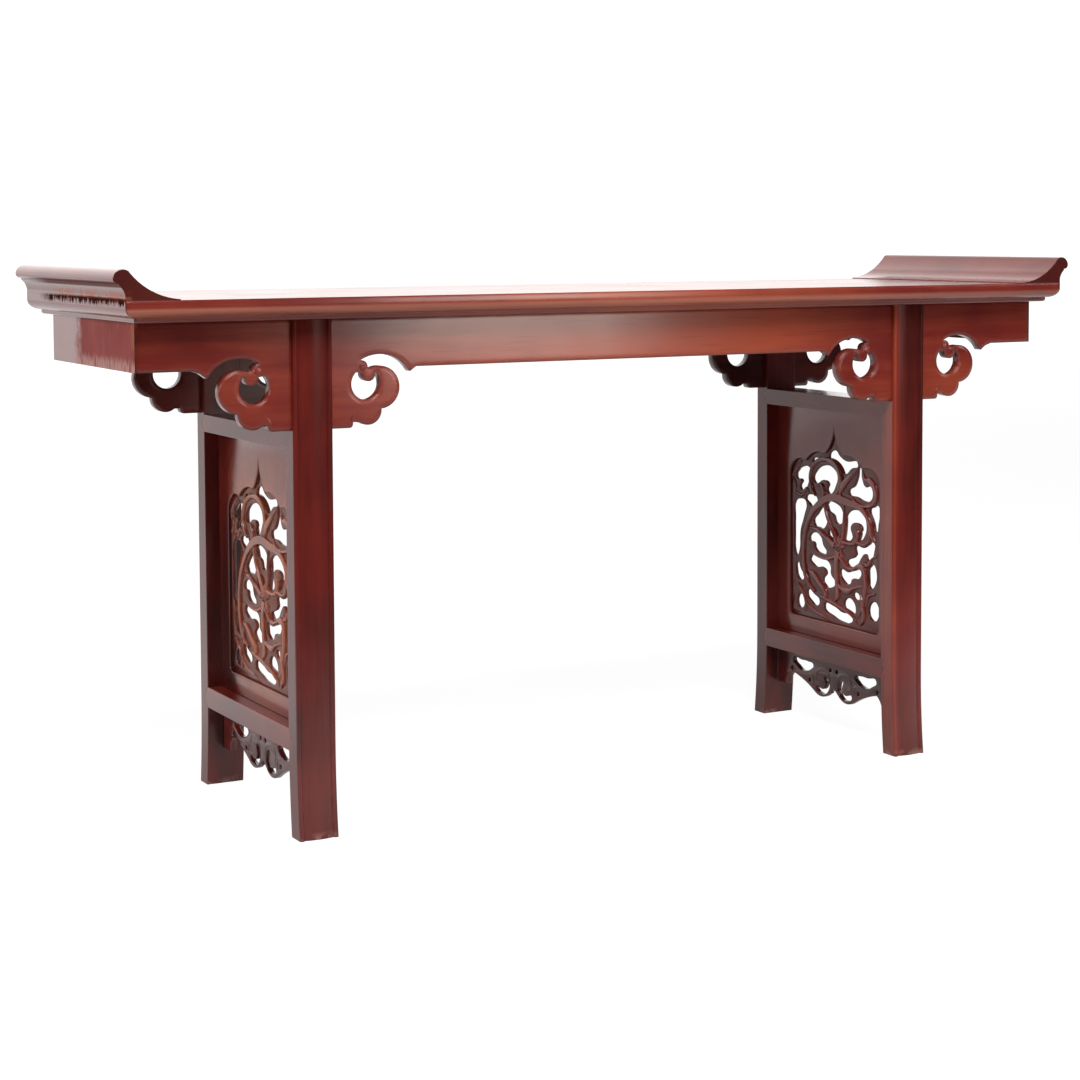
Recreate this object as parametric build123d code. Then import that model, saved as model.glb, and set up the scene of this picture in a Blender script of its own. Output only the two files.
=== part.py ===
from build123d import *
from math import pi
import os

# Altar table with everted flanges: a framed top on two side frames, joined by long aprons.
# X runs along the table, Y through its depth (front at -Y), Z up. Origin on the floor, mid table.
# All sizes in millimetres.

# ---------------------------------------------------------------- top
TOP_HEIGHT = 820.0          # floor to the flat tabletop
TOP_LENGTH = 1714.0         # over the moulded edge, without the flange noses
TOP_DEPTH = 504.0
MEMBER_WIDTH = 84.0         # width of the four frame members
EDGE_BAND = 10.0            # upright band under the top face
EDGE_ROUND_IN = 18.0        # how far the rounded edge draws in ...
EDGE_ROUND_DROP = 16.0      # ... and drops
EDGE_STEP = 3.0             # fillet under the rounded edge
EDGE_ROLL = 4.0             # small roll below the fillet
BOARD_THICK = 14.0
BOARD_COUNT = 3
TONGUE_THICK = 6.0
TONGUE_DEEP = 8.0
FLOAT_GAP = 1.0             # room for the boards to move in their grooves
JOINT_FIT = 0.2             # clearance all round a tenon or tongue
CORNER_TENON_WIDE = 30.0
CORNER_TENON_THICK = 8.0
CORNER_TENON_UP = 9.0       # from the underside of the frame
CORNER_TENON_END = 18.0     # left uncut behind the blind mortise

# ---------------------------------------------------------------- battens under the top
BATTEN_COUNT = 4
BATTEN_WIDE = 30.0
BATTEN_DEEP = 16.0
DOVETAIL_HIGH = 5.0
DOVETAIL_NECK = 20.0
DOVETAIL_FLARE = 3.0
BATTEN_TENON_WIDE = 16.0
BATTEN_TENON_THICK = 9.0
BATTEN_TENON_LONG = 20.0

# ---------------------------------------------------------------- flanges
FLANGE_BASE = 82.0          # from the end of the top to the thin inner tip
FLANGE_TIP = 1.5
FLANGE_HEIGHT = 44.0
FLANGE_NOSE = 18.0          # how far the nose stands beyond the top
FLANGE_NECK = 22.0          # height of the hollow neck under the nose
FLANGE_TONGUE_WIDE = 8.0
FLANGE_TONGUE_DEEP = 8.0
FLANGE_TONGUE_LONG = 360.0

# ---------------------------------------------------------------- legs
LEG_INSET = 301.0           # from the end of the top to the middle of each side frame
LEG_WIDTH = 63.0            # along X
LEG_DEPTH = 34.0            # along Y
LEG_SETBACK = 41.0          # from the front of the top to the front of the straight leg
LEG_CHEEK = 8.0             # wood in front of the apron, in the slotted head
FACE_BEAD = 8.0             # flat bead along each front corner
FACE_QUIRK = 1.2            # depth of the groove beside the bead
FACE_CROWN = 2.0            # rise of the rounded middle of the face
FOOT_FLARE = 8.0            # the foot sweeps outwards by this much ...
FOOT_RISE = 150.0           # ... from this height down
HEAD_TENON_HIGH = 15.0
HEAD_TENON_WIDE = 40.0

# ---------------------------------------------------------------- aprons and their cloud spandrels
APRON_INSET = 28.0          # from the end of the top to the end apron
APRON_THICK = 16.0
APRON_DROP = 77.0           # below the frame, at mid table
APRON_END_LIFT = 4.0        # the lower edge is lifted outside the spandrels ...
APRON_END_SLOPE = 12.0      # ... beyond this short slope
SPANDREL_DROP = 90.0        # below the plain apron
CLOUD_REACH = 68.0          # half width of the lowest cloud, from the middle of the leg
CLOUD_CORNER = 6.0
CLOUD_STEP = 88.0           # half width of the cloud above it
CLOUD_STEP_DROP = 81.5
LOBE_OUT = 93.0             # round lobe beside the lowest cloud
LOBE_DROP = 64.0
LOBE_RADIUS = 22.6
HOOK_OUT = 113.0            # the hooked scroll
HOOK_DROP = 30.0
HOOK_RADIUS = 32.8
EYE_OUT = 90.0              # hollow inside the hook
EYE_DROP = 24.0
EYE_RADIUS = 24.3
CURL_OUT = 94.5             # rounded tip of the hook
CURL_DROP = 9.5
CURL_RADIUS = 10.8
HALO_OUT = 112.5            # arched opening that frees the hook from the apron
HALO_DROP = 28.0
HALO_HALF_WIDE = 56.0
HALO_HIGH = 48.5
HALO_START = 82.0           # its inner end, at the link
LINK_OUT = 83.0             # small link between the hook and the apron
LINK_RISE = 2.0
LINK_RADIUS = 10.0
BARB_OUT = 164.0            # pointed barb where the opening breaks out
BARB_DROP = 7.2
BARB_RUN = 10.0

# ---------------------------------------------------------------- side frames
UPPER_RAIL_DROP = 197.5     # from the framed top down to the underside of the upper rail
UPPER_RAIL_HIGH = 28.5
LOWER_RAIL_Z = 131.5        # underside of the lower rail
LOWER_RAIL_HIGH = 33.5
RAIL_POINT = 10.0           # length of the mitred points on the rail shoulders
RAIL_POINT_THICK = 7.0
RAIL_TENON_THICK = 14.0
RAIL_TENON_LONG = 24.0
RAIL_TENON_SHOULDER = 5.0
PANEL_THICK = 14.0
PANEL_TONGUE = 6.0
PANEL_TONGUE_DEEP = 7.0

# sunk field of the panel: an ogee arch over two steps of lobes
PANEL_SINK = 3.0            # the vine lies this deep under both faces of the panel
WINDOW_HALF = 139.0
WINDOW_BOTTOM = 31.0        # above the lower rail
WINDOW_SPRING = 300.0       # where the outer lobes start
WINDOW_LOBE = 326.0         # top of the outer lobes
WINDOW_SHOULDER = 344.0     # foot of the ogee
WINDOW_APEX = 396.0
WINDOW_NOTCH = 12.0

# hanging pierced apron under the lower rail
HANG_THICK = 10.0
HANG_TONGUE_DEEP = 6.0
HANG_END_DROP = 70.0        # solid ends beside the legs
HANG_END_WIDE = 37.0
HANG_ARCH_DROP = 44.0
HANG_LOBE_DROP = 75.0
HANG_LOBE_OUT = 36.0
HANG_CUSP_DROP = 55.0

# ---------------------------------------------------------------- sizes that follow
EDGE_HEIGHT = EDGE_BAND + EDGE_ROUND_DROP + EDGE_STEP + EDGE_ROLL
FRAME_Z = TOP_HEIGHT - EDGE_HEIGHT
BOARD_Z = TOP_HEIGHT - BOARD_THICK
FIELD_X = TOP_LENGTH / 2 - MEMBER_WIDTH
FIELD_Y = TOP_DEPTH / 2 - MEMBER_WIDTH
BATTEN_PITCH = 2 * FIELD_X / (BATTEN_COUNT + 1)
BATTEN_X = [-FIELD_X + BATTEN_PITCH * (index + 1) for index in range(BATTEN_COUNT)]
LEG_X = TOP_LENGTH / 2 - LEG_INSET
LEG_FACE_Y = TOP_DEPTH / 2 - LEG_SETBACK
APRON_LENGTH = TOP_LENGTH - 2 * APRON_INSET
APRON_FACE = LEG_FACE_Y - LEG_CHEEK
APRON_Z = FRAME_Z - APRON_DROP
LEG_BACK = LEG_FACE_Y - LEG_DEPTH
SPANDREL_Z = APRON_Z - SPANDREL_DROP
UPPER_RAIL_Z = FRAME_Z - UPPER_RAIL_DROP
LOWER_RAIL_TOP = LOWER_RAIL_Z + LOWER_RAIL_HIGH
parts = {}


def block(x0, x1, y0, y1, z0, z1):
    """A plain block between six planes."""
    shape = Box(x1 - x0, y1 - y0, z1 - z0, align=(Align.MIN, Align.MIN, Align.MIN))
    return Pos(x0, y0, z0) * shape


def disc(x, y, radius):
    return Pos(x, y) * Circle(radius)


# ================================================================ framed top
def edge_section(half):
    """Section of a frame member: local X outwards from mid table, local Y up."""
    inner = half - MEMBER_WIDTH
    round_z = TOP_HEIGHT - EDGE_BAND
    step_x = half - EDGE_ROUND_IN
    step_z = round_z - EDGE_ROUND_DROP
    roll_z = step_z - EDGE_STEP
    outline = [
        Line((inner, FRAME_Z), (inner, TOP_HEIGHT)),
        Line((inner, TOP_HEIGHT), (half, TOP_HEIGHT)),
        Line((half, TOP_HEIGHT), (half, round_z)),
        EllipticalCenterArc((step_x, round_z), EDGE_ROUND_IN, EDGE_ROUND_DROP,
                            start_angle=-90, arc_size=90),
        Line((step_x, step_z), (step_x, roll_z)),
        CenterArc((step_x - EDGE_ROLL, roll_z), EDGE_ROLL, -90, 90),
        Line((step_x - EDGE_ROLL, FRAME_Z), (inner, FRAME_Z)),
    ]
    return make_face(outline)


def frame_member(half_length, half_width):
    """A mitred member that runs along X, with its moulded edge towards -Y."""
    section = Plane.YZ * mirror(edge_section(half_width), Plane.YZ)
    member = Pos(-half_length, 0, 0) * extrude(section, amount=2 * half_length)
    groove_z = BOARD_Z
    inner = half_width - MEMBER_WIDTH
    member -= block(-half_length, half_length, -inner - TONGUE_DEEP, -inner, groove_z,
                    groove_z + TONGUE_THICK)
    reach = 3 * MEMBER_WIDTH
    for side in (-1, 1):
        corner = Plane.XY * Polyline(
            (side * half_length, -half_width),
            (side * (half_length - reach), -half_width + reach),
            (side * (half_length + reach), -half_width + reach),
            (side * (half_length + reach), -half_width),
            close=True)
        member -= Pos(0, 0, FRAME_Z - 1) * extrude(make_face(corner), amount=EDGE_HEIGHT + 2)
    return member


def corner_tenon(side, front, fit):
    """Tenon of an end rail inside the mitre, reaching into a stile."""
    x = side * (TOP_LENGTH / 2 - MEMBER_WIDTH / 2)
    z0 = FRAME_Z + CORNER_TENON_UP
    root = FIELD_Y + MEMBER_WIDTH / 2 - CORNER_TENON_WIDE / 2
    tip = TOP_DEPTH / 2 - CORNER_TENON_END
    half = CORNER_TENON_WIDE / 2 + fit
    y0, y1 = sorted((front * root, front * (tip + fit)))
    return block(x - half, x + half, y0, y1, z0 - fit, z0 + CORNER_TENON_THICK + fit)


def head_tenons(fit):
    """The two tenons on the head of the front right leg."""
    half = HEAD_TENON_WIDE / 2 + fit
    z1 = FRAME_Z + HEAD_TENON_HIGH + fit
    slot_back = -APRON_FACE + APRON_THICK
    front = block(LEG_X - half, LEG_X + half, -LEG_FACE_Y + FACE_CROWN - fit, -APRON_FACE + fit,
                  FRAME_Z - fit, z1)
    rear = block(LEG_X - half, LEG_X + half, slot_back - fit, -LEG_BACK + fit,
                 FRAME_Z - fit, z1)
    return front + rear


def batten_tenon(x, fit):
    z0 = BOARD_Z - BATTEN_DEEP + (BATTEN_DEEP - BATTEN_TENON_THICK) / 2
    half = BATTEN_TENON_WIDE / 2 + fit
    end = FIELD_Y + BATTEN_TENON_LONG + fit
    return block(x - half, x + half, -end, end, z0 - fit, z0 + BATTEN_TENON_THICK + fit)


def stile(front):
    """Long member of the frame; front is -1 at the front and 1 at the back."""
    member = frame_member(TOP_LENGTH / 2, TOP_DEPTH / 2)
    for side in (-1, 1):
        member -= corner_tenon(side, -1, JOINT_FIT)
        tenons = head_tenons(JOINT_FIT)
        member -= tenons if side == 1 else mirror(tenons, Plane.YZ)
    for x in BATTEN_X:
        member -= batten_tenon(x, JOINT_FIT)
    return member if front == -1 else mirror(member, Plane.XZ)


def flange_tongue(fit):
    """Tongue under the right flange, in a groove of the end rail."""
    x = TOP_LENGTH / 2 - MEMBER_WIDTH / 2
    half = FLANGE_TONGUE_WIDE / 2 + fit
    long = FLANGE_TONGUE_LONG / 2 + fit
    return block(x - half, x + half, -long, long, TOP_HEIGHT - FLANGE_TONGUE_DEEP - fit, TOP_HEIGHT)


def end_rail(side):
    """Short member of the frame; side is -1 at the left and 1 at the right."""
    member = Rot(0, 0, 90) * frame_member(TOP_DEPTH / 2, TOP_LENGTH / 2)
    for front in (-1, 1):
        member += corner_tenon(1, front, 0)
    member -= flange_tongue(JOINT_FIT)
    return member if side == 1 else mirror(member, Plane.YZ)


def dovetail(x, fit):
    """Dovetailed key of a batten, as long as the boards are wide."""
    neck = DOVETAIL_NECK / 2 + fit
    wide = neck + DOVETAIL_FLARE
    key = Polyline((x - neck, BOARD_Z), (x - wide, BOARD_Z + DOVETAIL_HIGH),
                   (x + wide, BOARD_Z + DOVETAIL_HIGH), (x + neck, BOARD_Z), close=True)
    return Pos(0, FIELD_Y, 0) * extrude(Plane.XZ * make_face(key), amount=2 * FIELD_Y)


def board(index):
    """One floating board: tongues on its ends and, on the outer boards, along one side."""
    width = 2 * FIELD_Y / BOARD_COUNT
    y0 = -FIELD_Y + index * width
    tongue = TONGUE_DEEP - FLOAT_GAP
    shape = block(-FIELD_X, FIELD_X, y0, y0 + width, BOARD_Z, TOP_HEIGHT)
    front = y0 - tongue if index == 0 else y0
    back = y0 + width + tongue if index == BOARD_COUNT - 1 else y0 + width
    shape += block(-FIELD_X - tongue, FIELD_X + tongue, front, back, BOARD_Z, BOARD_Z + TONGUE_THICK)
    for x in BATTEN_X:
        shape -= dovetail(x, JOINT_FIT)
    return shape


def batten(x):
    half = BATTEN_WIDE / 2
    shape = block(x - half, x + half, -FIELD_Y, FIELD_Y, BOARD_Z - BATTEN_DEEP, BOARD_Z)
    return shape + dovetail(x, 0) + batten_tenon(x, 0)


parts["top_front_stile"] = stile(-1)
parts["top_back_stile"] = stile(1)
parts["top_left_end_rail"] = end_rail(-1)
parts["top_right_end_rail"] = end_rail(1)
for index, place in enumerate(("front", "middle", "back")):
    parts["top_board_" + place] = board(index)
for index, x in enumerate(BATTEN_X):
    parts["top_batten_%d" % (index + 1)] = batten(x)


# ================================================================ everted flanges
def flange():
    """The right flange: hollow inner face, rolled nose and hollow neck."""
    end = TOP_LENGTH / 2
    tip = end - FLANGE_BASE
    base = TOP_HEIGHT
    crest = (end - 5, base + FLANGE_HEIGHT - 1.5)
    nose = (end + FLANGE_NOSE, base + FLANGE_HEIGHT - 13)
    lip = (end + FLANGE_NOSE - 9, base + FLANGE_NECK + 2.5)
    neck = (end + 9, base + FLANGE_NECK)
    outline = [
        Line((tip, base), (tip, base + FLANGE_TIP)),
        ThreePointArc((tip, base + FLANGE_TIP), (tip + 0.49 * FLANGE_BASE, base + 0.28 * FLANGE_HEIGHT),
                      crest),
        ThreePointArc(crest, (end + 13, base + FLANGE_HEIGHT - 2.5), nose),
        ThreePointArc(nose, (end + FLANGE_NOSE - 3, base + FLANGE_HEIGHT - 18), lip),
        Line(lip, neck),
        ThreePointArc(neck, (end + 1.5, base + 0.55 * FLANGE_NECK), (end, base)),
        Line((end, base), (tip, base)),
    ]
    section = Plane.XZ * make_face(outline)
    shape = Pos(0, TOP_DEPTH / 2, 0) * extrude(section, amount=TOP_DEPTH)
    return shape + flange_tongue(0)


parts["right_flange"] = flange()
parts["left_flange"] = mirror(parts["right_flange"], Plane.YZ)


# ================================================================ aprons
def cloud_spandrel():
    """Faces of one spandrel: X out from the middle of the leg, Y up from the plain lower edge.

    The cloud joins the apron, the opening is cut through both, and the hook goes back into it.
    """
    cloud = Pos(CLOUD_REACH / 2, -SPANDREL_DROP / 2) * Rectangle(CLOUD_REACH, SPANDREL_DROP)
    corner = cloud.vertices().sort_by(Axis.X)[-2:].sort_by(Axis.Y)[0]
    cloud = fillet(corner, CLOUD_CORNER)
    cloud += Pos(CLOUD_STEP / 2, -CLOUD_STEP_DROP / 2) * Rectangle(CLOUD_STEP, CLOUD_STEP_DROP)
    cloud += disc(LOBE_OUT, -LOBE_DROP, LOBE_RADIUS)
    barb = make_face(Polyline((BARB_OUT - 12, 0), (BARB_OUT, -BARB_DROP), (BARB_OUT + BARB_RUN, 0),
                              close=True))
    halo = Pos(HALO_OUT, -HALO_DROP) * Ellipse(HALO_HALF_WIDE, HALO_HIGH)
    halo -= Pos(HALO_OUT, -HALO_DROP - HALO_HIGH) * Rectangle(3 * HALO_HALF_WIDE, 2 * HALO_HIGH)
    halo -= Pos(HALO_START - HALO_HALF_WIDE, 0) * Rectangle(2 * HALO_HALF_WIDE, 4 * HALO_HIGH)
    eye = disc(EYE_OUT, -EYE_DROP, EYE_RADIUS)
    hook = disc(HOOK_OUT, -HOOK_DROP, HOOK_RADIUS) - eye
    hook += disc(CURL_OUT, -CURL_DROP, CURL_RADIUS)
    hook += disc(LINK_OUT, LINK_RISE, LINK_RADIUS)
    return cloud + barb, halo + eye, hook


def long_apron():
    """The front apron, in one piece with its four spandrels."""
    half = APRON_LENGTH / 2
    low = LEG_X + BARB_OUT + BARB_RUN
    high = low + APRON_END_SLOPE
    lift = APRON_Z + APRON_END_LIFT
    face = make_face(Polyline((-half, FRAME_Z), (half, FRAME_Z), (half, lift), (high, lift), (low, APRON_Z),
                              (-low, APRON_Z), (-high, lift), (-half, lift), close=True))
    cloud, opening, hook = cloud_spandrel()
    cloud += mirror(cloud, Plane.YZ)
    opening += mirror(opening, Plane.YZ)
    hook += mirror(hook, Plane.YZ)
    for x in (-LEG_X, LEG_X):
        face += Pos(x, APRON_Z) * cloud
        face -= Pos(x, APRON_Z) * opening
        face += Pos(x, APRON_Z) * hook
    apron = Pos(0, -APRON_FACE + APRON_THICK, 0) * extrude(Plane.XZ * face, amount=APRON_THICK)
    for side in (-1, 1):
        apron -= mitre_wedge(side)
    return apron


def mitre_wedge(side):
    """The wood that the corner mitre takes off the long apron."""
    half = APRON_LENGTH / 2
    back = -APRON_FACE + APRON_THICK
    wedge = make_face(Polyline((side * half, -APRON_FACE), (side * (half - APRON_THICK), back),
                               (side * (half + 1), back), (side * (half + 1), -APRON_FACE), close=True))
    return Pos(0, 0, SPANDREL_Z) * extrude(wedge, amount=FRAME_Z - SPANDREL_Z)


def end_apron():
    """The right end apron, mitred to the long ones."""
    outer = APRON_LENGTH / 2
    plan = make_face(Polyline((outer, -APRON_FACE), (outer, APRON_FACE),
                              (outer - APRON_THICK, APRON_FACE - APRON_THICK),
                              (outer - APRON_THICK, -APRON_FACE + APRON_THICK), close=True))
    foot = APRON_Z + APRON_END_LIFT
    return Pos(0, 0, foot) * extrude(plan, amount=FRAME_Z - foot)


parts["front_apron"] = long_apron()
parts["back_apron"] = mirror(parts["front_apron"], Plane.XZ)
parts["right_end_apron"] = end_apron()
parts["left_end_apron"] = mirror(parts["right_end_apron"], Plane.YZ)


# ================================================================ side frames
def leg_section():
    """Plan of the leg: beads along both front corners and a rounded face between them."""
    half = LEG_WIDTH / 2
    face = LEG_FACE_Y - FACE_CROWN
    quirk = half - FACE_BEAD
    groove = -face + FACE_QUIRK
    bead = ThreePointArc((half, -face), (half - FACE_BEAD / 2, -face - FACE_CROWN), (quirk, groove))
    outline = [
        Line((-half, -LEG_BACK), (half, -LEG_BACK)),
        Line((half, -LEG_BACK), (half, -face)),
        bead,
        ThreePointArc((quirk, groove), (0, -LEG_FACE_Y), (-quirk, groove)),
        mirror(bead, Plane.YZ),
        Line((-half, -face), (-half, -LEG_BACK)),
    ]
    return make_face(outline)


def rail_end(rail_z, rail_high, fit):
    """Tenon and mitred points of a rail, where it enters the front right leg."""
    z0 = rail_z + RAIL_TENON_SHOULDER - fit
    z1 = rail_z + rail_high - RAIL_TENON_SHOULDER + fit
    half = RAIL_TENON_THICK / 2 + fit
    end = block(LEG_X - half, LEG_X + half, -LEG_BACK - RAIL_TENON_LONG - fit, -LEG_BACK, z0, z1)
    point = make_face(Polyline((-LEG_BACK, rail_z), (-LEG_BACK - RAIL_POINT, rail_z + rail_high / 2),
                               (-LEG_BACK, rail_z + rail_high), close=True))
    for face in (LEG_X - LEG_WIDTH / 2, LEG_X + LEG_WIDTH / 2 - RAIL_POINT_THICK):
        end += Pos(face, 0, 0) * extrude(Plane.YZ * point, amount=RAIL_POINT_THICK)
    return end


def panel_tongue(fit):
    """Edge of the carved panel, as deep as its grooves."""
    half = PANEL_TONGUE / 2 + fit
    out = PANEL_TONGUE_DEEP + fit
    return block(LEG_X - half, LEG_X + half, -LEG_BACK - out, LEG_BACK + out,
                 LOWER_RAIL_TOP - out, UPPER_RAIL_Z + out)


def hang_tongue(fit):
    """Edge of the hanging apron in the rail above it and in both legs."""
    half = HANG_THICK / 2 + fit
    out = HANG_TONGUE_DEEP + fit
    return block(LEG_X - half, LEG_X + half, -LEG_BACK - out, LEG_BACK + out,
                 LOWER_RAIL_Z - HANG_END_DROP - fit, LOWER_RAIL_Z + out)


def leg():
    """Front right leg: slotted head, two tenons and a foot that sweeps to the front."""
    radius = (FOOT_RISE ** 2 + FOOT_FLARE ** 2) / (2 * FOOT_FLARE)
    straight = Pos(LEG_X, 0, FOOT_RISE) * extrude(leg_section(), amount=FRAME_Z - FOOT_RISE)
    turn = 1.1 * FOOT_RISE / radius * 180 / pi
    pivot = Axis((0, -LEG_FACE_Y - radius, FOOT_RISE), (-1, 0, 0))
    foot = revolve(Pos(LEG_X, 0, FOOT_RISE) * leg_section(), pivot, turn)
    shape = straight + foot
    shape -= block(LEG_X - LEG_WIDTH, LEG_X + LEG_WIDTH, -2 * LEG_FACE_Y, 0, -FOOT_RISE, 0)
    shape -= block(LEG_X - LEG_WIDTH, LEG_X + LEG_WIDTH, -APRON_FACE, -APRON_FACE + APRON_THICK,
                   SPANDREL_Z, FRAME_Z)
    shape -= rail_end(UPPER_RAIL_Z, UPPER_RAIL_HIGH, JOINT_FIT)
    shape -= rail_end(LOWER_RAIL_Z, LOWER_RAIL_HIGH, JOINT_FIT)
    shape -= panel_tongue(JOINT_FIT)
    shape -= hang_tongue(JOINT_FIT)
    return shape + head_tenons(0)


def rail(rail_z, rail_high):
    """A side rail of the right frame, flush with the legs on both faces."""
    half = LEG_WIDTH / 2
    shape = block(LEG_X - half, LEG_X + half, -LEG_BACK, LEG_BACK, rail_z, rail_z + rail_high)
    end = rail_end(rail_z, rail_high, 0)
    shape += end
    shape += mirror(end, Plane.XZ)
    shape -= panel_tongue(JOINT_FIT)
    return shape - hang_tongue(JOINT_FIT)


front_leg = leg()
back_leg = mirror(front_leg, Plane.XZ)
upper_rail = rail(UPPER_RAIL_Z, UPPER_RAIL_HIGH)
lower_rail = rail(LOWER_RAIL_Z, LOWER_RAIL_HIGH)
parts["right_front_leg"] = front_leg
parts["right_back_leg"] = back_leg
parts["right_upper_rail"] = upper_rail
parts["right_lower_rail"] = lower_rail
parts["left_front_leg"] = mirror(front_leg, Plane.YZ)
parts["left_back_leg"] = Rot(0, 0, 180) * front_leg
parts["left_upper_rail"] = mirror(upper_rail, Plane.YZ)
parts["left_lower_rail"] = mirror(lower_rail, Plane.YZ)

# ================================================================ carved panels and hanging aprons
# Heights are above the lower rail, and "out" runs to the front edge of the side frame.
# Openings between the stems of the vine: points along each rim, as (out, up).
VINE_OPENINGS = (
    # around the small scroll under the ogee
    ((0, 350), (14, 340), (33, 333), (68, 330), (49, 322), (29, 310), (19, 317), (8, 326), (-19, 337)),
    ((-70, 326), (-55, 332), (-44, 331), (-59, 322)),
    ((-96, 313), (-78, 308), (-81, 291), (-101, 268), (-110, 274), (-104, 286), (-122, 291)),
    ((-31, 320), (-5, 316), (6, 304), (2, 288), (-16, 270), (-25, 276), (-21, 287), (-38, 293),
     (-58, 285), (-68, 292), (-63, 304)),
    ((-74, 262), (-56, 256), (-57, 250), (-71, 241), (-83, 247), (-92, 254)),
    # leaf and hooked tip beside it
    ((74, 326), (80, 306), (90, 292), (105, 294), (112, 282), (105, 269), (88, 267), (66, 272),
     (41, 278), (58, 291), (67, 307)),
    # outside the great oval, rear side
    ((-129, 248), (-90, 251), (-98, 220), (-109, 193), (-114, 144), (-128, 142)),
    ((-118, 132), (-108, 120), (-98, 104), (-110, 100), (-121, 114)),
    ((-111, 72), (-98, 68), (-99, 50), (-114, 50)),
    ((-84, 84), (-65, 78), (-48, 67), (-57, 58), (-75, 65), (-86, 74)),
    # outside the great oval, front side
    ((105, 254), (130, 261), (129, 230), (123, 215), (113, 234)),
    ((113, 156), (124, 143), (119, 119), (108, 112), (100, 128), (102, 146)),
    ((111, 87), (127, 86), (127, 59), (113, 56), (102, 69)),
    # upper half of the oval, with the hooked branch
    ((-37, 242), (-21, 233), (-25, 217), (-39, 203), (-67, 213), (-55, 228)),
    ((-25, 249), (3, 253), (23, 239), (21, 221), (3, 219), (-4, 231), (-22, 240)),
    ((68, 248), (86, 241), (94, 221), (89, 205), (77, 195), (66, 200), (81, 215), (68, 225),
     (47, 217), (51, 195), (21, 199), (33, 215), (33, 233)),
    ((-17, 205), (11, 197), (-5, 186), (-19, 192)),
    # lower half of the oval, beside the middle stem
    ((-68, 192), (-45, 187), (-37, 172), (-27, 160), (-42, 157), (-62, 165), (-65, 174), (-80, 179)),
    ((-78, 143), (-33, 147), (-15, 138), (-13, 122), (0, 107), (-15, 97), (-30, 98), (-37, 109),
     (-27, 123), (-39, 132), (-56, 130), (-68, 134)),
    ((117, 194), (117, 180), (109, 164), (99, 162), (91, 172), (78, 163), (69, 152), (37, 148),
     (64, 167), (62, 181), (87, 182)),
    ((16, 133), (40, 132), (78, 139), (73, 126), (52, 122), (45, 112), (30, 113)),
    # foot of the vine
    ((-33, 62), (-4, 64), (19, 57), (54, 49), (45, 41), (27, 40), (-4, 46)),
    ((39, 85), (56, 81), (63, 67), (59, 59), (42, 62), (28, 71)),
    ((63, 99), (75, 90), (66, 86), (56, 93)),
)
# Openings of one half of the hanging apron.
HANG_OPENINGS = (
    ((64, -21), (79, -17), (101, -17), (128, -19), (115, -30), (101, -36), (86, -35), (71, -29)),
    ((22, -34), (28, -35), (25, -50), (32, -60), (55, -60), (39, -69), (26, -68), (16, -59), (13, -50)),
)
HANG_DOTS = ((10, -21), (75, -50), (132, -37))
HANG_DOT_RADIUS = 3.5


def opening(points):
    """Face inside a smooth rim."""
    return make_face(Spline(*points, periodic=True))


def window():
    """Sunk field of the panel: straight sides, stepped lobes and a pointed ogee."""
    half = WINDOW_HALF
    low = WINDOW_BOTTOM
    notch = WINDOW_NOTCH
    lobe = (0.64 * half, WINDOW_LOBE)
    foot = (0.2 * half, WINDOW_SHOULDER)
    right = [
        Line((0, low), (half - notch, low)),
        ThreePointArc((half - notch, low), (half - 0.35 * notch, low + 0.35 * notch), (half, low + notch)),
        Line((half, low + notch), (half, WINDOW_SPRING)),
        ThreePointArc((half, WINDOW_SPRING), (0.88 * half, WINDOW_LOBE - 3), lobe),
        ThreePointArc(lobe, (0.48 * half, WINDOW_SHOULDER - 3), foot),
        ThreePointArc(foot, (0.07 * half, WINDOW_SHOULDER + 20), (0, WINDOW_APEX)),
    ]
    left = [mirror(edge, Plane.YZ) for edge in right]
    return make_face(right + left)


def side_plate(face, thick, base):
    """A plate of the right side frame, from a face whose X runs to the front and Y up."""
    plane = Plane(origin=(LEG_X - thick / 2, 0, base), x_dir=(0, -1, 0), z_dir=(-1, 0, 0))
    return extrude(plane * face, amount=-thick)


def carved_panel():
    """Board between the rails and legs, sunk on both faces and pierced between the stems."""
    half = LEG_BACK
    high = UPPER_RAIL_Z - LOWER_RAIL_TOP
    board = side_plate(Pos(0, high / 2) * Rectangle(2 * half, high), PANEL_THICK, LOWER_RAIL_TOP)
    board += panel_tongue(0)
    shift = (PANEL_THICK - PANEL_SINK) / 2
    field = side_plate(window(), PANEL_SINK, LOWER_RAIL_TOP)
    board -= Pos(shift, 0, 0) * field
    board -= Pos(-shift, 0, 0) * field
    for rim in VINE_OPENINGS:
        board -= side_plate(opening(rim), PANEL_THICK, LOWER_RAIL_TOP)
    return board


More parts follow.
